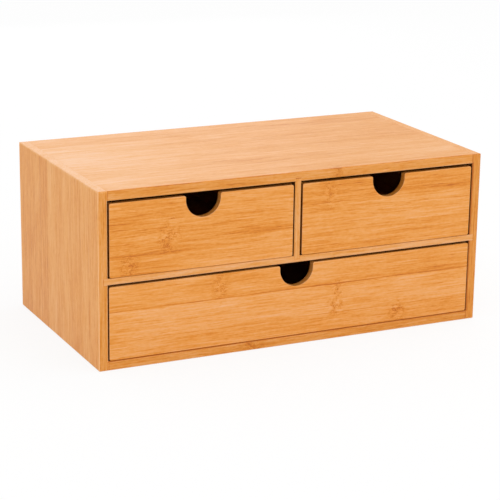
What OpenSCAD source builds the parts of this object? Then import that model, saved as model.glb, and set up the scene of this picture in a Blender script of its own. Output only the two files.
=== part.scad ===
// Desktop chest with two small drawers above one wide drawer.
// Origin at the middle of the base. X runs to the right, Y to the back, Z up.

/* [Case] */
// Outside width of the case
case_w = 350; // [240:5:480]
// Outside depth of the case, front to back
case_d = 190; // [120:5:280]
// Outside height of the case
case_h = 148; // [120:2:220]
// Thickness of the sides, the top and the bottom
panel_t = 8; // [6:0.5:12]
// Thickness of the shelf and the divider
shelf_t = 5.5; // [4:0.5:8]
// Thickness of the back panel
back_t = 4; // [3:0.5:6]
// Radius of the sanded outer edges of the case
case_ease = 1.2; // [0.4:0.2:2]
// Width of the chamfer round each drawer opening
bay_ease = 0.8; // [0.2:0.1:1.2]

/* [Case joints] */
// How far the shelf is let into each side
shelf_dado = 4; // [2:0.5:5]
// How far the divider is let into the top and into the shelf
divider_dado = 3; // [1:0.5:3]
// How far the back panel is let into the sides, the top and the bottom
back_rebate = 4; // [2:0.5:5]

/* [Drawers] */
// Thickness of the drawer fronts
front_t = 6; // [5:0.5:10]
// Thickness of the drawer sides and backs
wall_t = 5; // [4:0.5:8]
// Thickness of the drawer bottoms
floor_t = 3; // [2:0.5:5]
// Corner radius of the drawer fronts
front_corner_r = 1.5; // [0.5:0.1:3]
// How far the sides are let into the front, and the back into the sides
drawer_lap = 2; // [1:0.5:3]
// How far the drawer bottom is let into the four boards around it
groove_depth = 2.5; // [1:0.5:3]
// Height of that groove above the lower edge of the drawer
groove_height = 4; // [3:0.5:8]

/* [Finger notch] */
// Width of the finger notch in each front
notch_w = 30.5; // [20:0.5:50]
// Height of the straight walls of the notch above its half round
notch_straight = 3.3; // [3:0.1:10]
// Radius of the shoulders where the notch meets the upper edge
notch_shoulder_r = 1.5; // [0.5:0.1:3]

/* [Clearances] */
// Gap under each drawer
under_gap = 0.3; // [0.1:0.1:1]
// Gap above the two upper drawers
upper_head_gap = 2.4; // [1:0.1:4]
// Gap above the lower drawer
lower_head_gap = 1.8; // [1:0.1:4]
// Gap on each side of the two upper drawers
upper_side_gap = 1.5; // [0.5:0.1:3]
// Gap on each side of the lower drawer
lower_side_gap = 1; // [0.5:0.1:3]
// Gap between a closed drawer and the back panel
stop_gap = 0.5; // [0.1:0.1:2]
// Gap between the edges of a drawer bottom and the roots of its grooves
groove_gap = 0.3; // [0.1:0.1:1]

/* [Hidden] */
case_names = ["side_left", "side_right", "top_panel", "bottom_panel", "shelf", "divider", "back_panel"];
drawer_names = ["upper_left_drawer", "upper_right_drawer", "lower_drawer"];
board_names = ["front", "side_left", "side_right", "back", "bottom"];

case_color = "#dc9a5b";
edge_color = "#d58f4d";
front_color = "#e2a25c";
box_color = "#dda765";
thin_color = "#e6bb80";

// Straight pieces in each rounded quarter of an edge
ease_steps = 4;
// Straight pieces in the half round of a notch
notch_steps = 36;
// How far a cut runs past the face that it opens
overcut = 1;

front_y = -case_d / 2;
rear_y = case_d / 2;
back_y = rear_y - back_t;
inner_x = case_w / 2 - panel_t;
top_z = case_h - panel_t;
shelf_z = panel_t + (top_z - panel_t - shelf_t) / 2;
upper_z = shelf_z + shelf_t;
drawer_end_y = back_y - stop_gap;
// Where the boards of the case start, before its outside shape trims them
rough_y = front_y - overcut;

// A bay is the empty space that holds one drawer. A bay and a drawer are each given by their edges
// seen from the front: [left, right, bottom, top]
upper_left_bay = [-inner_x, -shelf_t / 2, upper_z, top_z];
upper_right_bay = [shelf_t / 2, inner_x, upper_z, top_z];
lower_bay = [-inner_x, inner_x, panel_t, shelf_z];
bays = [upper_left_bay, upper_right_bay, lower_bay];

function drawer_in(bay, side_gap, head_gap) =
    [bay[0] + side_gap, bay[1] - side_gap, bay[2] + under_gap, bay[3] - head_gap];
drawers = [
    drawer_in(upper_left_bay, upper_side_gap, upper_head_gap),
    drawer_in(upper_right_bay, upper_side_gap, upper_head_gap),
    drawer_in(lower_bay, lower_side_gap, lower_head_gap)
];

function arc(center, r, from, to, steps) =
    [for (i = [0:steps]) let (a = from + (to - from) * i / steps) center + r * [cos(a), sin(a)]];

function rounded_rectangle(w, h, r) = concat(
    arc([w / 2 - r, h / 2 - r], r, 0, 90, ease_steps),
    arc([r - w / 2, h / 2 - r], r, 90, 180, ease_steps),
    arc([r - w / 2, r - h / 2], r, 180, 270, ease_steps),
    arc([w / 2 - r, r - h / 2], r, 270, 360, ease_steps)
);

// An outline drawn in X and Z, standing up between y and far_y
module upright(y, far_y) {
    translate([0, far_y, 0])
        rotate([90, 0, 0])
            linear_extrude(far_y - y)
                children();
}

// A box given by its lowest and highest corners
module block(low, high) {
    upright(low[1], high[1])
        polygon([[low[0], low[2]], [high[0], low[2]], [high[0], high[2]], [low[0], high[2]]]);
}

// The outside shape of the whole case, with every edge sanded round
module case_envelope() {
    translate([0, 0, case_h / 2])
        intersection() {
            linear_extrude(case_h + 2 * overcut, center = true)
                polygon(rounded_rectangle(case_w, case_d, case_ease));
            rotate([90, 0, 0])
                linear_extrude(case_d + 2 * overcut, center = true)
                    polygon(rounded_rectangle(case_w, case_h, case_ease));
            rotate([90, 0, 90])
                linear_extrude(case_w + 2 * overcut, center = true)
                    polygon(rounded_rectangle(case_d, case_h, case_ease));
        }
}

// The chamfer round the mouth of one bay: a pyramid stump as wide as the bay at its rear
module bay_chamfer(bay) {
    function corners(y, grow) =
        let (left = bay[0] - grow, right = bay[1] + grow, bottom = bay[2] - grow, top = bay[3] + grow)
        [[left, y, bottom], [right, y, bottom], [right, y, top], [left, y, top]];
    polyhedron(
        points = concat(corners(front_y - overcut, bay_ease + overcut), corners(front_y + bay_ease, 0)),
        faces = [[3, 2, 1, 0], [4, 5, 6, 7], [0, 1, 5, 4], [1, 2, 6, 5], [2, 3, 7, 6], [3, 0, 4, 7]]
    );
}

// One board of the case: its own shape inside the sanded envelope, less the chamfers
module case_board() {
    difference() {
        intersection() {
            children();
            case_envelope();
        }
        for (bay = bays)
            bay_chamfer(bay);
    }
}

// The part of its child that lies in front of the back panel
module before_back() {
    difference() {
        children();
        block([-case_w / 2, back_y, 0], [case_w / 2, rear_y, case_h]);
    }
}

// The space that the shelf fills, from one dado to the other
module shelf_space() {
    reach = inner_x + shelf_dado;
    before_back()
        block([-reach, rough_y, shelf_z], [reach, rear_y, upper_z]);
}

// The space that the divider fills, from its slot in the shelf to its slot in the top
module divider_space() {
    before_back()
        block([-shelf_t / 2, rough_y, upper_z - divider_dado], [shelf_t / 2, rear_y, top_z + divider_dado]);
}

// The space that the back panel fills
module back_space() {
    reach = inner_x + back_rebate;
    block([-reach, back_y, panel_t - back_rebate], [reach, rear_y, top_z + back_rebate]);
}

// side is -1 for the left side and 1 for the right side
module case_side(side) {
    inner = side * inner_x;
    outer = side * case_w / 2;
    color(case_color)
        case_board()
            difference() {
                block([min(inner, outer), rough_y, 0], [max(inner, outer), rear_y, case_h]);
                shelf_space();
                back_space();
            }
}

module top_panel() {
    color(case_color)
        case_board()
            difference() {
                block([-inner_x, rough_y, top_z], [inner_x, rear_y, case_h]);
                divider_space();
                back_space();
            }
}

module bottom_panel() {
    color(case_color)
        case_board()
            difference() {
                block([-inner_x, rough_y, 0], [inner_x, rear_y, panel_t]);
                back_space();
            }
}

module shelf() {
    color(edge_color)
        case_board()
            difference() {
                shelf_space();
                divider_space();
            }
}

module divider() {
    color(edge_color)
        case_board()
            divider_space();
}

module back_panel() {
    color(thin_color)
        back_space();
}

// The outline of a drawer front, with the notch in its upper edge
function front_outline(drawer) =
    let (
        left = drawer[0],
        right = drawer[1],
        bottom = drawer[2],
        top = drawer[3],
        c = front_corner_r,
        s = notch_shoulder_r,
        r = notch_w / 2,
        middle = (left + right) / 2
    )
    concat(
        arc([left + c, bottom + c], c, 180, 270, ease_steps),
        arc([right - c, bottom + c], c, 270, 360, ease_steps),
        arc([right - c, top - c], c, 0, 90, ease_steps),
        arc([middle + r + s, top - s], s, 90, 180, ease_steps),
        arc([middle, top - notch_straight], r, 0, -180, notch_steps),
        arc([middle - r - s, top - s], s, 0, 90, ease_steps),
        arc([left + c, top - c], c, 90, 180, ease_steps)
    );

// The space of a drawer's side board. side is -1 for the left one and 1 for the right one
module drawer_side_space(drawer, side) {
    outer = side < 0 ? drawer[0] : drawer[1];
    inner = outer - side * wall_t;
    block(
        [min(outer, inner), front_y + front_t - drawer_lap, drawer[2]],
        [max(outer, inner), drawer_end_y, drawer[3]]
    );
}

// The space of a drawer's back board, which is let into both sides
module drawer_back_space(drawer) {
    inset = wall_t - drawer_lap;
    block(
        [drawer[0] + inset, drawer_end_y - wall_t, drawer[2]],
        [drawer[1] - inset, drawer_end_y, drawer[3]]
    );
}

// A flat box above the groove height, let in by reach past the faces inside the drawer
module drawer_floor_space(drawer, reach) {
    inset = wall_t - reach;
    z = drawer[2] + groove_height;
    block(
        [drawer[0] + inset, front_y + front_t - reach, z],
        [drawer[1] - inset, drawer_end_y - wall_t + reach, z + floor_t]
    );
}

module drawer_front(drawer) {
    color(front_color)
        difference() {
            upright(front_y, front_y + front_t)
                polygon(front_outline(drawer));
            for (side = [-1, 1])
                drawer_side_space(drawer, side);
            drawer_floor_space(drawer, groove_depth);
        }
}

module drawer_side(drawer, side) {
    color(box_color)
        difference() {
            drawer_side_space(drawer, side);
            drawer_back_space(drawer);
            drawer_floor_space(drawer, groove_depth);
        }
}

module drawer_back(drawer) {
    color(box_color)
        difference() {
            drawer_back_space(drawer);
            drawer_floor_space(drawer, groove_depth);
        }
}

module drawer_bottom(drawer) {
    color(thin_color)
        drawer_floor_space(drawer, groove_depth - groove_gap);
}

case_side(-1);  // side_left
case_side(1);  // side_right
top_panel();
bottom_panel();
shelf();
divider();
back_panel();
for (i = [0:len(drawers) - 1]) {
    drawer_front(drawers[i]);
    drawer_side(drawers[i], -1);
    drawer_side(drawers[i], 1);
    drawer_back(drawers[i]);
    drawer_bottom(drawers[i]);
}
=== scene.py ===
"""Looks of the desktop chest: bamboo boards in a plain white studio."""

import random
from collections import namedtuple

import bpy
from mathutils import Matrix, Vector


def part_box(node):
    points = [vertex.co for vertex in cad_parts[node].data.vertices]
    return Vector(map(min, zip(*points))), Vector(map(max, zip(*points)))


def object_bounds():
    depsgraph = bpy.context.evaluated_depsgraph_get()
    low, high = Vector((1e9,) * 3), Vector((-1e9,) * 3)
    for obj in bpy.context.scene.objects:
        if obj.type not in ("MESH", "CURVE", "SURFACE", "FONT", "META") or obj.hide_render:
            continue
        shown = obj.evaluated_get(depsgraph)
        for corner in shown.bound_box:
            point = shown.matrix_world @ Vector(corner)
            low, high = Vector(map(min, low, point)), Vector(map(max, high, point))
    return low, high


MM = 0.001

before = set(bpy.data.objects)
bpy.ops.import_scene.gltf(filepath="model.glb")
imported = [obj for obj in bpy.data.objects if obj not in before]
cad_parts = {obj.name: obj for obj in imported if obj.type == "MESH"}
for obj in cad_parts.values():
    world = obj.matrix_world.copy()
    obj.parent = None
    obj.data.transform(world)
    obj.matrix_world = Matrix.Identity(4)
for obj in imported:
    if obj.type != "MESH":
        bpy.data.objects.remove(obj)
cad_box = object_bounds()


# Camera: its place in metres, and the directions of its view and of its right side

CAMERA_PLACE = (-0.65936, -1.37260, 0.49826)
CAMERA_FORWARD = (0.41719, 0.86504, -0.27869)
CAMERA_RIGHT = (0.90236, -0.43076, 0.01374)
SENSOR_MM = 36
LENS_MM = 130.65


def add_camera():
    forward = Vector(CAMERA_FORWARD).normalized()
    right = Vector(CAMERA_RIGHT).normalized()
    axes = Matrix((right, right.cross(forward), -forward)).transposed()
    data = bpy.data.cameras.new("camera")
    data.sensor_width = SENSOR_MM
    data.lens = LENS_MM
    camera = bpy.data.objects.new("camera", data)
    camera.matrix_world = Matrix.Translation(CAMERA_PLACE) @ axes.to_4x4()
    bpy.context.scene.collection.objects.link(camera)
    bpy.context.scene.camera = camera


# Node helpers


class Graph:
    """Adds nodes to one tree. A value is either a socket to link or a constant to set."""

    def __init__(self, tree):
        self.tree = tree

    def add(self, kind, **settings):
        node = self.tree.nodes.new(kind)
        for name, value in settings.items():
            setattr(node, name, value)
        return node

    def feed(self, socket, value):
        if isinstance(value, bpy.types.NodeSocket):
            self.tree.links.new(value, socket)
        else:
            socket.default_value = value

    def call(self, kind, values, output=0, **settings):
        node = self.add(kind, **settings)
        for key, value in values.items():
            self.feed(node.inputs[key], value)
        return node.outputs[output]

    def math(self, operation, *values):
        return self.call("ShaderNodeMath", dict(enumerate(values)), operation=operation)

    def vector(self, operation, *values):
        return self.call("ShaderNodeVectorMath", dict(enumerate(values)), operation=operation)

    def split(self, vector):
        node = self.add("ShaderNodeSeparateXYZ")
        self.feed(node.inputs[0], vector)
        return node.outputs

    def join(self, x, y, z):
        return self.call("ShaderNodeCombineXYZ", {0: x, 1: y, 2: z})

    def coordinates(self, kind):
        """Object is the place in the row's frame, and Normal is the way the surface faces."""
        return self.split(self.add("ShaderNodeTexCoord").outputs[kind])

    def noise(self, place, scale, detail, roughness=0.5, distortion=0.0):
        values = {
            "Vector": self.vector("MULTIPLY", place, scale),
            "Scale": 1.0,
            "Detail": detail,
            "Roughness": roughness,
            "Distortion": distortion,
        }
        return self.call("ShaderNodeTexNoise", values, output="Fac")

    def smooth(self, value, low, high, start=0.0, end=1.0):
        values = {
            "Value": value,
            "From Min": low,
            "From Max": high,
            "To Min": start,
            "To Max": end,
        }
        return self.call("ShaderNodeMapRange", values, interpolation_type="SMOOTHSTEP")

    def mix(self, share, first, second, blend_type="MIX"):
        # A colour mix has its factor in socket 0, and its colours in sockets 6 and 7
        values = {0: share, 6: first, 7: second}
        settings = {"data_type": "RGBA", "blend_type": blend_type}
        return self.call("ShaderNodeMix", values, output=2, **settings)

    def ramp(self, value, stops, interpolation="LINEAR"):
        """stops holds pairs of a position and either a colour or a number."""
        node = self.add("ShaderNodeValToRGB")
        node.color_ramp.interpolation = interpolation
        elements = node.color_ramp.elements
        while len(elements) < len(stops):
            elements.new(1.0)
        for element, (position, colour) in zip(elements, stops):
            element.position = position
            element.color = colour if isinstance(colour, tuple) else (colour, colour, colour, 1.0)
        self.feed(node.inputs[0], value)
        return node.outputs["Color"]


def new_group(name, inputs, outputs):
    tree = bpy.data.node_groups.new(name, "ShaderNodeTree")
    for label, kind in inputs:
        tree.interface.new_socket(label, in_out="INPUT", socket_type=kind)
    for label, kind in outputs:
        tree.interface.new_socket(label, in_out="OUTPUT", socket_type=kind)
    graph = Graph(tree)
    return graph, graph.add("NodeGroupInput").outputs, graph.add("NodeGroupOutput").inputs


# Bamboo: places in the case where its colour changes

FRONT_Y = cad_box[0][1]
# The inner faces of the case, taken a little way into the boards
SKIN = 0.05 * MM
ROOM_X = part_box("top_panel")[1].x + SKIN
ROOM_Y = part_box("back_panel")[0].y + SKIN
ROOM_Z = (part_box("bottom_panel")[1].z - SKIN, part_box("top_panel")[0].z + SKIN)
# Width of the chamfers at the mouths of the bays
LIP = 0.85 * MM
# How far behind the front the painted shade in a bay begins, and is full
DEEP = (0.5 * MM, 1.3 * MM)
# Width over which one colour passes into another elsewhere
BLEND = 0.1 * MM
# How far from the end of a board its glue line begins and is full
TIP = (0.9 * MM, 0.4 * MM)
# Cosines at which a surface begins to face along an axis, and does: for the flat front of the
# case, for its sides and top, for the front with its eased edges, for the broad faces of a drawer
# front, and for the ways in which an eased edge faces
FLAT_FRONT = (0.9, 0.98)
OUTER = (0.6, 0.95)
WHOLE_FRONT = (0.5, 0.9)
BROAD = (0.1, 0.5)
EDGE_WAY = (0.1, 0.45)
# On an eased edge at the front or the rear, the cosine to y lies between these two steps
EDGE_Y = ((0.1, 0.3), (0.88, 0.98))

# Bamboo: colours

# What the wood is multiplied by, all of it painted light and shade: painted shade on the front
# edges of the case, a yellower tint that paints part of the sheen off its sides, a paler painted
# sheen on its top, dark painted shade within the case, painted shade on the narrow faces and notch
# of a drawer front, darker end grain deepened by painted shade on the ends of a drawer front, and a
# little painted shade on a drawer's box
PAINTED_FRONT_SHADE = (0.94, 0.96, 1.0, 1.0)
PAINTED_SIDE_TINT = (0.98, 1.025, 0.89, 1.0)
PAINTED_TOP_SHEEN = (0.995, 1.03, 1.05, 1.0)
PAINTED_BAY_SHADE = (0.20, 0.15, 0.10, 1.0)
PAINTED_NARROW_SHADE = (0.72, 0.68, 0.62, 1.0)
END_GRAIN_AND_SHADE = (0.40, 0.32, 0.24, 1.0)
PAINTED_BOX_SHADE = (0.90, 0.90, 0.88, 1.0)
PLAIN = (1.0, 1.0, 1.0, 1.0)
# Base colours in linear light by tone, from the darkest fibre to the palest
BAMBOO = (
    (0.00, (0.52, 0.135, 0.004, 1.0)),
    (0.15, (0.65, 0.200, 0.008, 1.0)),
    (0.32, (0.72, 0.253, 0.022, 1.0)),
    (0.50, (0.774, 0.309, 0.053, 1.0)),
    (0.68, (0.807, 0.360, 0.100, 1.0)),
    (0.85, (0.826, 0.398, 0.145, 1.0)),
    (1.00, (0.845, 0.445, 0.210, 1.0)),
)
# What each part of the wood adds to its tone, which is 0.5 without them
WEIGHTS = {
    "fine": 1.0,
    "medium": 0.66,
    "broad": 0.28,
    "cloud": 0.26,
    "speckle": 0.34,
    "strip": 0.13,
    "dashes": -0.15,
    "streak": -0.30,
    "seam": -0.55,
    "fleck": -0.70,
    "glint": 0.10,
    # edge: painted highlights and painted shade on the eased edges
    "edge": 1.0,
}

# Bamboo: patterns

# Noises: how fine they are along, across and through the grain, then detail, roughness, distortion
NOISES = {
    "wander": ((9, 30, 30), 2.0),
    "swerve": ((110, 150, 150), 1.0),
    "fine": ((34, 1250, 1250), 2.0, 0.6),
    "medium": ((20, 480, 480), 2.0, 0.6),
    "broad": ((9, 120, 120), 1.0),
    "cloud": ((14, 28, 28), 1.0),
    "speckle": ((300, 700, 700), 1.0),
    "dashes": ((110, 1500, 1500), 0.0),
    "curl": ((420, 330, 330), 2.0, 0.55, 1.2),
    "blotch": ((150, 170, 170), 2.0, 0.6),
    "seam": ((14, 5, 5), 1.0),
}
# How far the fibres wander, and how far they swerve round a knot
WANDER = 3.5 * MM
SWERVE = 6 * MM
# How far a strip's own value shifts its patterns along and through the grain, in metres
STRIP_SHIFT = (3.7, 1.9)
# Values of a noise between which something changes, and what it changes from and to
DASHES_IN = (0.60, 0.72)
CURL_IN = (0.0, 0.07, 1.0, 0.2)
FLECK_IN = (0.40, 0.62, 0.25, 1.0)
GLINT_IN = (0.5, 0.36)
SEAM_IN = (0.35, 0.65, 0.4, 1.2)
# How far across its reach a hard-edged mark begins to fade, and has faded
HARD_EDGE = (0.75, 1.1)
# The sum of the fine and the medium noise at the darkest and the palest fibres, and their roughness
ROUGHNESS_IN = (0.6, 1.4, 0.46, 0.34)
# What the parts of the wood add to its height besides the medium noise
HEIGHTS = {"fine": 0.6, "seam": -1.0, "fleck": -0.5}
BUMP_DEPTH = 0.08 * MM
BUMP_STRENGTH = 0.5
# Index of refraction of the oiled wood
IOR = 1.42


def make_spot_group(name, soft):
    """A mark that fades out along the grain, and across it either softly or at a hard edge."""
    graph, given, result = new_group(
        name,
        [
            ("Place", "NodeSocketVector"),
            ("Centre", "NodeSocketVector"),
            ("Reach", "NodeSocketVector"),
        ],
        [("Mask", "NodeSocketFloat")],
    )
    away = graph.vector("SUBTRACT", given["Place"], given["Centre"])
    along, across, _ = graph.split(graph.vector("DIVIDE", away, given["Reach"]))

    def fade(distance):
        square = graph.math("MULTIPLY", distance, distance)
        return graph.math("EXPONENT", graph.math("MULTIPLY", square, -1.0))

    if soft:
        width = fade(across)
    else:
        width = graph.smooth(graph.math("ABSOLUTE", across), *HARD_EDGE, 1.0, 0.0)
    graph.feed(result["Mask"], graph.math("MULTIPLY", fade(along), width))
    return graph.tree


def painted_edge_light(graph, amounts):
    """How much an eased edge is painted paler, as a painted highlight, or darker where the amount
    is negative, as painted shade. amounts are those for facing sideways, up and down.
    """
    x, y, z = graph.coordinates("Normal")
    y = graph.math("ABSOLUTE", y)
    tilted, not_flat = graph.smooth(y, *EDGE_Y[0]), graph.smooth(y, *EDGE_Y[1], 1.0, 0.0)
    eased = graph.math("MULTIPLY", tilted, not_flat)
    ways = (graph.math("ABSOLUTE", x), z, graph.math("MULTIPLY", z, -1.0))
    edge = 0.0
    for way, paler in zip(ways, graph.split(amounts)):
        edge = graph.math("MULTIPLY_ADD", graph.smooth(way, *EDGE_WAY), paler, edge)
    return graph.math("MULTIPLY", edge, eased)


def make_bamboo_group():
    """The wood, with the painted light and shade that each board gives it. Place is along, across
    and through the grain, in metres.
    """
    graph, given, result = new_group(
        "bamboo",
        [
            ("Place", "NodeSocketVector"),
            ("Strip", "NodeSocketFloat"),
            ("Seam", "NodeSocketFloat"),
            ("Knot", "NodeSocketFloat"),
            ("Streak", "NodeSocketFloat"),
            ("Shade", "NodeSocketColor"),
            ("Edge", "NodeSocketVector"),
        ],
        [
            ("Color", "NodeSocketColor"),
            ("Roughness", "NodeSocketFloat"),
            ("Normal", "NodeSocketVector"),
        ],
    )
    strip, knot = given["Strip"], given["Knot"]

    def noise(name, place):
        return graph.noise(place, *NOISES[name])

    # Each strip was cut from another stalk, so its fibres start elsewhere
    shifts = [graph.math("MULTIPLY", strip, shift) for shift in STRIP_SHIFT]
    place = graph.vector("ADD", given["Place"], graph.join(shifts[0], 0.0, shifts[1]))
    # Fibres wander a little, and swerve round a knot
    wander = graph.math("SUBTRACT", noise("wander", place), 0.5)
    wander = graph.math("MULTIPLY", wander, WANDER)
    swerve = graph.math("SUBTRACT", noise("swerve", place), 0.5)
    swerve = graph.math("MULTIPLY", graph.math("MULTIPLY", swerve, knot), SWERVE)
    bend = graph.math("ADD", wander, swerve)
    fibre = graph.vector("ADD", place, graph.join(0.0, bend, bend))

    # The fibres of a knot are short, and curl in thin dark lines
    curl = graph.math("ABSOLUTE", graph.math("SUBTRACT", noise("curl", place), 0.5))
    blotch = noise("blotch", place)
    fleck = graph.math("MULTIPLY", graph.smooth(blotch, *FLECK_IN), graph.smooth(curl, *CURL_IN))
    fleck = graph.math("MULTIPLY", fleck, knot)
    # Glue lines come and go along the board
    seam = graph.smooth(noise("seam", place), *SEAM_IN)
    seam = graph.math("MULTIPLY", seam, given["Seam"])

    fine = noise("fine", fibre)
    medium = noise("medium", fibre)
    # Patterns vary round 0.5, and marks start from 0
    patterns = {
        "fine": fine,
        "medium": medium,
        "broad": noise("broad", fibre),
        "cloud": noise("cloud", place),
        "speckle": noise("speckle", fibre),
        "strip": strip,
    }
    marks = {
        "dashes": graph.smooth(noise("dashes", fibre), *DASHES_IN),
        "streak": given["Streak"],
        "seam": seam,
        "fleck": fleck,
        "glint": graph.math("MULTIPLY", graph.smooth(blotch, *GLINT_IN), knot),
        "edge": painted_edge_light(graph, given["Edge"]),
    }
    tone = 0.5
    for name, part in patterns.items():
        part = graph.math("SUBTRACT", part, 0.5)
        tone = graph.math("MULTIPLY_ADD", part, WEIGHTS[name], tone)
    for name, part in marks.items():
        tone = graph.math("MULTIPLY_ADD", part, WEIGHTS[name], tone)
    wood = graph.ramp(tone, BAMBOO)
    # The wood is multiplied by the painted light and shade of its board
    graph.feed(result["Color"], graph.mix(1.0, wood, given["Shade"], blend_type="MULTIPLY"))

    grain = graph.math("ADD", fine, medium)
    graph.feed(result["Roughness"], graph.smooth(grain, *ROUGHNESS_IN))
    height = medium
    for name, part in (("fine", fine), ("seam", seam), ("fleck", fleck)):
        height = graph.math("MULTIPLY_ADD", part, HEIGHTS[name], height)
    bump = {"Height": height, "Distance": BUMP_DEPTH, "Strength": BUMP_STRENGTH}
    graph.feed(result["Normal"], graph.call("ShaderNodeBump", bump))
    return graph.tree


# Shades: each returns what the wood of a board is multiplied by, its painted light and shade. at
# and normal are the place and the direction of the surface, split in x, y and z, and low and high
# are the board's corners


def case_shade(graph, at, normal, low, high):
    """Paints light and shade on the case: a tint by the way each outer face points, and dark
    painted shade on the inside from the lips of the bays on.
    """
    # The inside of the bays, their lips included, gets dark painted shade
    mouth = ROOM_X + LIP
    wide = graph.smooth(graph.math("ABSOLUTE", at[0]), mouth, mouth + BLEND, 1.0, 0.0)
    above = graph.smooth(at[2], ROOM_Z[0] - BLEND, ROOM_Z[0])
    below = graph.smooth(at[2], ROOM_Z[1], ROOM_Z[1] + BLEND, 1.0, 0.0)
    deep = graph.smooth(at[1], FRONT_Y + DEEP[0], FRONT_Y + DEEP[1])
    far = graph.smooth(at[1], ROOM_Y, ROOM_Y + BLEND, 1.0, 0.0)
    inside = graph.math("MULTIPLY", wide, deep)
    inside = graph.math("MULTIPLY", inside, graph.math("MULTIPLY", above, below))
    inside = graph.math("MULTIPLY", inside, far)

    # The outer faces get painted light by the way they point: the front darker, the sides yellower,
    # the top paler as painted sheen
    front = graph.smooth(graph.math("MULTIPLY", normal[1], -1.0), *FLAT_FRONT)
    side = graph.smooth(graph.math("ABSOLUTE", normal[0]), *OUTER)
    upper = graph.smooth(normal[2], *OUTER)
    outside = graph.mix(side, graph.mix(upper, PLAIN, PAINTED_TOP_SHEEN), PAINTED_SIDE_TINT)
    return graph.mix(inside, graph.mix(front, outside, PAINTED_FRONT_SHADE), PAINTED_BAY_SHADE)


def front_shade(graph, at, normal, low, high):
    """Paints shade on the narrow faces and the notch of a drawer front, and on its ends most of
    all, where the end grain is darker too.
    """
    narrow = graph.smooth(graph.math("ABSOLUTE", normal[1]), *BROAD, 1.0, 0.0)
    away = graph.math("ABSOLUTE", graph.math("SUBTRACT", at[0], (low.x + high.x) / 2))
    reach = (high.x - low.x) / 2
    ends = graph.smooth(away, reach - 2 * BLEND, reach - BLEND)
    return graph.mix(narrow, PLAIN, graph.mix(ends, PAINTED_NARROW_SHADE, END_GRAIN_AND_SHADE))


# A drawer's box gets a little painted shade all over
def box_shade(graph, at, normal, low, high):
    return PAINTED_BOX_SHADE


# Boards

# A kind of board: its axes along, across and through the fibres, the function that paints light and
# shade on it, and how much its eased edges that face sideways, up and down are painted paler as
# highlights, or darker as painted shade where negative
Kind = namedtuple("Kind", "grain shade edge")
NO_EDGE = (0.0, 0.0, 0.0)
DRAWER_BOARDS = {
    # A drawer front's eased edges: painted highlights at the sides and top, painted shade at the
    # bottom
    "front": Kind("xzy", front_shade, (0.55, 0.35, -0.35)),
    "side_left": Kind("yzx", box_shade, NO_EDGE),
    "side_right": Kind("yzx", box_shade, NO_EDGE),
    "back": Kind("xzy", box_shade, NO_EDGE),
    "bottom": Kind("xyz", box_shade, NO_EDGE),
}
# The darker eased edges of the case are painted shade at the mouths of the bays, the paler ones
# painted highlights
CASE_BOARDS = {
    "side_left": Kind("zyx", case_shade, (0.55, -0.30, 0.30)),
    "side_right": Kind("zyx", case_shade, (-0.60, -0.30, 0.30)),
    "top_panel": Kind("xyz", case_shade, (0.55, -0.30, 0.30)),
    "bottom_panel": Kind("xyz", case_shade, (0.55, -0.80, 0.30)),
    "shelf": Kind("xyz", case_shade, (0.55, 0.0, 0.30)),
    "divider": Kind("zyx", case_shade, (0.0, -0.30, 0.30)),
    "back_panel": Kind("xzy", case_shade, NO_EDGE),
}
# Widths of the eased edges. On the drawers' boards, some of 0.25 mm would meet
DRAWER_EASE = 0.24 * MM
CASE_EASE = 0.15 * MM

# Lines between strips, in mm across the grain, with their depth
SEAMS = {
    "lower_drawer_front": [(23.2, 0.4), (48.5, 1.2)],
    "upper_left_drawer_front": [(93.5, 0.45), (120, 0.35)],
    "upper_right_drawer_front": [(83, 0.3), (119.6, 0.35)],
    "side_left": [
        (-73, 0.4),
        (-55, 0.5),
        (-34, 0.4),
        (-11, 0.3),
        (3, 0.3),
        (24, 0.7),
        (41, 0.8),
        (67, 0.3),
        (87, 0.5),
    ],
    "top_panel": [
        (-75.5, 0.3),
        (-54, 0.5),
        (-35, 0.15),
        (-16, 0.15),
        (3, 0.35),
        (22, 0.1),
        (42, 0.4),
        (61, 0.3),
        (80, 0.1),
    ],
}
# Knots: (along, across, reach along, reach across, strength), in mm
KNOTS = {
    "lower_drawer_front": [
        (-70, 58.5, 7, 12, 1.0),
        (39, 43, 6, 8, 1.1),
        (37, 29, 7, 8, 1.2),
        (97, 17, 7, 8, 1.3),
    ],
    "upper_left_drawer_front": [
        (-113, 108, 9, 14, 0.8),
        (-116, 101, 6, 6, 0.9),
        (-149, 85, 7, 8, 1.1),
    ],
    "upper_right_drawer_front": [(30, 128, 6, 12, 1.1)],
    "top_panel": [(37, -95, 6, 12, 1.0)],
    "bottom_panel": [(-41, -95, 8, 12, 1.2)],
}
# Darker streaks, given like the knots. Those with a negative strength are paler
STREAKS = {
    "lower_drawer_front": [(130, 50.5, 45, 2.5, 0.8), (-20, 50, 60, 1.5, 0.5)],
    "upper_left_drawer_front": [
        (-163, 122, 28, 4.5, 0.5),
        (-25, 103, 35, 2, 0.5),
        (-140, 93, 30, 2, 0.5),
        (-150, 105, 60, 40, 0.35),
    ],
    "upper_right_drawer_front": [
        (140, 124, 40, 2, 0.6),
        (130, 95, 50, 2.5, 0.4),
        (20, 105, 60, 40, 0.25),
    ],
    # On the top the two broad pale marks at the left are painted sheen; the thin marks at the front
    # edge darken its front face
    "top_panel": [
        (-175, -95, 110, 150, -1.0),
        (-175, 95, 120, 110, -0.6),
        (175, -80, 120, 60, -0.5),
        (-175, -95, 150, 1.0, 0.75),
        (0, -95, 400, 1.0, 0.05),
    ],
    "bottom_panel": [(0, -95, 400, 1.0, 0.1)],
    # The pale marks at the top ends of the sides (148 mm) are painted sheen, like the top's
    "side_left": [(148, 0, 1.0, 300, -1.5), (74, 95, 300, 75, 0.35)],
    "side_right": [(74, -95, 300, 1.0, 0.5), (148, 0, 1.0, 300, -0.4)],
}
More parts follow.
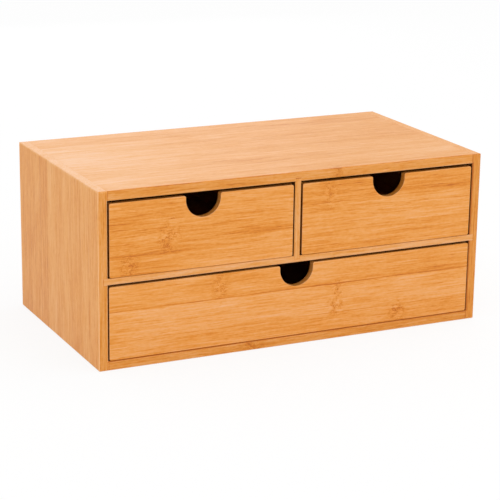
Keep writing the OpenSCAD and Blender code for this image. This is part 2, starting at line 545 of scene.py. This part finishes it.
# How dark the glue lines at the front corners of a board's ends are
ENDS = {"top_panel": 0.9, "bottom_panel": 0.9, "shelf": 1.8, "divider": 0.9}
# Boards that are paler than the rest all over, in the same measure as the streaks
PALE = {
    "shelf": 0.5,
    "divider": 0.2,
    "back_panel": 0.5,
    "lower_drawer_front": 0.25,
    "upper_left_drawer_bottom": 0.6,
    "upper_right_drawer_bottom": 0.6,
    "lower_drawer_bottom": 0.6,
}

# For the other boards: how far in the first line between strips lies, how wide the next strips are
# and the least width of the last one, all in mm, and the depth of the lines
FIRST_STRIP = (6, 20)
NEXT_STRIP = (17, 23)
LAST_STRIP = 5
SEAM_DEPTH = (0.1, 0.4)
# How far the strips go past the board on either side, in mm
OVERHANG = 2
# The least and the most by which the values of two neighbouring strips lie apart
STRIP_CONTRAST = (0.2, 1.0)
# Half the width of a line between strips, in mm, and what its depth adds to that
LINE_HALF = 0.45
LINE_HALF_BY_DEPTH = 0.3
# Every board is cut from another part of an endless piece of bamboo: its place there, in metres
CUT_FROM = (-9, 9)


def strip_edges(low, high, rng):
    """Where the strips of a board meet, in mm across the grain: (place, depth of the line)."""
    edges = []
    place = low + rng.uniform(*FIRST_STRIP)
    while place < high - LAST_STRIP:
        edges.append((place, rng.uniform(*SEAM_DEPTH)))
        place += rng.uniform(*NEXT_STRIP)
    return edges


def add_strips(graph, across, low, high, seams, seed, rng):
    """The value of each strip, and the lines between them. across runs from low to high."""
    start, end = low / MM - OVERHANG, high / MM + OVERHANG
    edges = strip_edges(start, end, rng) if seams is None else seams
    # Neighbouring strips take turns at being paler and darker
    tones = []
    for number in range(len(edges) + 1):
        turn = 0.5 if (number + seed) % 2 else -0.5
        tones.append(0.5 + turn * rng.uniform(*STRIP_CONTRAST))
    stops = [(0.0, tones[0])]
    lines = [(0.0, 0.0)]
    for (place, depth), tone in zip(edges, tones[1:]):
        position = (place - start) / (end - start)
        half = (LINE_HALF + LINE_HALF_BY_DEPTH * depth) / (end - start)
        stops.append((position, tone))
        lines += [(position - half, 0.0), (position, depth), (position + half, 0.0)]
    span = {"Value": across, "From Min": start * MM, "From Max": end * MM}
    share = graph.call("ShaderNodeMapRange", span)
    return graph.ramp(share, stops, "CONSTANT"), graph.ramp(share, lines)


def add_marks(graph, tree, place, spots, total=0.0):
    """Adds up spots of the group tree, which are given in mm."""
    for along, across, reach_along, reach_across, strength in spots:
        node = graph.add("ShaderNodeGroup", node_tree=tree)
        graph.feed(node.inputs["Place"], place)
        node.inputs["Centre"].default_value = (along * MM, across * MM, 0.0)
        node.inputs["Reach"].default_value = (reach_along * MM, reach_across * MM, 1.0)
        total = graph.math("MULTIPLY_ADD", node.outputs["Mask"], strength, total)
    return total


def add_end_lines(graph, along, normal, low, high, dark):
    """The glue lines at the ends of a board, on its front edge. along runs from low to high."""
    reach = (high - low) / 2
    away = graph.math("ABSOLUTE", graph.math("SUBTRACT", along, (low + high) / 2))
    tip = graph.smooth(away, reach - TIP[0], reach - TIP[1], 0.0, dark)
    front = graph.smooth(graph.math("MULTIPLY", normal[1], -1.0), *WHOLE_FRONT)
    return graph.math("MULTIPLY", tip, front)


def board_material(node, kind, low, high, seed):
    """low and high are the board's corners."""
    rng = random.Random(seed)
    material = bpy.data.materials.new(node)
    material.use_nodes = True
    graph = Graph(material.node_tree)
    graph.tree.nodes.clear()

    at = graph.coordinates("Object")
    normal = graph.coordinates("Normal")
    along, across, through = ("xyz".index(axis) for axis in kind.grain)
    place = graph.join(at[along], at[across], at[through])
    strip, seam = add_strips(
        graph, at[across], low[across], high[across], SEAMS.get(node), seed, rng
    )
    if node in ENDS:
        end_lines = add_end_lines(graph, at[along], normal, low[along], high[along], ENDS[node])
        seam = graph.math("MAXIMUM", seam, end_lines)

    wood = graph.add("ShaderNodeGroup", node_tree=WOOD)
    offset = tuple(rng.uniform(*CUT_FROM) for _ in range(3))
    streaks = add_marks(graph, SPOT, place, STREAKS.get(node, ()), -PALE.get(node, 0.0))
    for name, value in (
        ("Place", graph.vector("ADD", place, offset)),
        ("Strip", strip),
        ("Seam", seam),
        ("Knot", add_marks(graph, KNOT, place, KNOTS.get(node, ()))),
        ("Streak", streaks),
        ("Shade", kind.shade(graph, at, normal, low, high)),
        ("Edge", kind.edge),
    ):
        graph.feed(wood.inputs[name], value)

    shader = graph.add("ShaderNodeBsdfPrincipled")
    shader.inputs["IOR"].default_value = IOR
    graph.feed(shader.inputs["Base Color"], wood.outputs["Color"])
    graph.feed(shader.inputs["Roughness"], wood.outputs["Roughness"])
    graph.feed(shader.inputs["Normal"], wood.outputs["Normal"])
    output = graph.add("ShaderNodeOutputMaterial")
    graph.feed(output.inputs["Surface"], shader.outputs["BSDF"])
    return material


# Corners closer than this become one, faces that meet at less than this angle become one, and edges
# with more than this angle are eased. The angles are in radians, and the last is 60 degrees
WELD_DISTANCE = 0.001 * MM
FLAT_ANGLE = 0.01
SHARP_ANGLE = 1.05
EASE_SEGMENTS = 3


def ease_edges(piece, width):
    """Rounds the right-angled edges of a board, but not the facets of its CAD roundings."""
    weld = piece.modifiers.new("weld", "WELD")
    weld.merge_threshold = WELD_DISTANCE
    flat = piece.modifiers.new("flat", "DECIMATE")
    flat.decimate_type = "DISSOLVE"
    flat.angle_limit = FLAT_ANGLE
    bevel = piece.modifiers.new("bevel", "BEVEL")
    bevel.width = width
    bevel.segments = EASE_SEGMENTS
    bevel.limit_method = "ANGLE"
    bevel.angle_limit = SHARP_ANGLE
    bevel.harden_normals = True


def finish_board(node, piece, seed):
    if "_drawer_" in node:
        kind, ease = DRAWER_BOARDS[node.split("_drawer_")[1]], DRAWER_EASE
    else:
        kind, ease = CASE_BOARDS[node], CASE_EASE
    low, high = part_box(node)
    piece.data.materials.clear()
    piece.data.materials.append(board_material(node, kind, low, high, seed))
    ease_edges(piece, ease)


# Studio

# The floor reaches this far from the middle in metres, and lies just under the chest
FLOOR_REACH = 6.0
FLOOR_DROP = 0.2 * MM
FLOOR_PAINT = (0.94, 0.94, 0.94, 1.0)
# How much of what is seen of the floor is plain white, and so hides its shadows
FLOOR_WHITE = 0.86
# Strength of the white world as a light. Where it is seen, it is 1
WORLD_LIGHT = 0.93
# Soft boxes: (place, target, width and height in metres, power in watts)
SOFTBOXES = {
    "overhead": ((0.6, -0.1, 1.3), (0.0, 0.0, 0.1), (1.2, 1.2), 2.3),
    "key": ((0.7, -1.4, 1.1), (0.0, 0.0, 0.1), (1.2, 1.2), 2.9),
    "fill": ((-1.1, -0.9, 0.5), (0.0, 0.0, 0.1), (0.8, 0.8), 1.3),
    "rear": ((0.1, 1.5, 0.5), (-0.1, 0.0, 0.15), (1.4, 0.8), 1.7),
}


def seen_rays(graph):
    """1 for what the camera sees, directly, in a reflection or through glass."""
    path = graph.add("ShaderNodeLightPath").outputs
    seen = graph.math("MAXIMUM", path["Is Camera Ray"], path["Is Glossy Ray"])
    return graph.math("MAXIMUM", seen, path["Is Transmission Ray"])


def add_floor():
    reach = FLOOR_REACH
    corners = [(-reach, -reach, 0), (reach, -reach, 0), (reach, reach, 0), (-reach, reach, 0)]
    mesh = bpy.data.meshes.new("floor")
    mesh.from_pydata(corners, [], [(0, 1, 2, 3)])
    floor = bpy.data.objects.new("floor", mesh)
    floor.location.z = -FLOOR_DROP
    bpy.context.scene.collection.objects.link(floor)

    material = bpy.data.materials.new("floor")
    material.use_nodes = True
    graph = Graph(material.node_tree)
    graph.tree.nodes.clear()
    paint = graph.call("ShaderNodeBsdfDiffuse", {"Color": FLOOR_PAINT})
    white = graph.call("ShaderNodeEmission", {"Strength": 1.0})
    share = graph.math("MULTIPLY", seen_rays(graph), FLOOR_WHITE)
    surface = graph.call("ShaderNodeMixShader", {0: share, 1: paint, 2: white})
    graph.feed(graph.add("ShaderNodeOutputMaterial").inputs["Surface"], surface)
    mesh.materials.append(material)


def add_world():
    world = bpy.data.worlds.new("studio")
    world.use_nodes = True
    graph = Graph(world.node_tree)
    graph.tree.nodes.clear()
    strength = graph.math("MULTIPLY_ADD", seen_rays(graph), 1.0 - WORLD_LIGHT, WORLD_LIGHT)
    sky = {"Color": (1.0, 1.0, 1.0, 1.0), "Strength": strength}
    surface = graph.call("ShaderNodeBackground", sky)
    graph.feed(graph.add("ShaderNodeOutputWorld").inputs["Surface"], surface)
    bpy.context.scene.world = world


def add_softbox(name, place, target, size, power):
    data = bpy.data.lights.new(name, "AREA")
    data.shape = "RECTANGLE"
    data.size, data.size_y = size
    data.energy = power
    lamp = bpy.data.objects.new(name, data)
    lamp.location = place
    lamp.visible_camera = False
    lamp.rotation_euler = (Vector(target) - Vector(place)).to_track_quat("-Z", "Y").to_euler()
    bpy.context.scene.collection.objects.link(lamp)


add_camera()
SPOT = make_spot_group("spot", soft=False)
KNOT = make_spot_group("knot", soft=True)
WOOD = make_bamboo_group()
for number, (node, piece) in enumerate(sorted(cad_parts.items())):
    finish_board(node, piece, seed=number + 1)
add_floor()
add_world()
for name, box in SOFTBOXES.items():
    add_softbox(name, *box)
bpy.context.scene.view_settings.view_transform = "Standard"
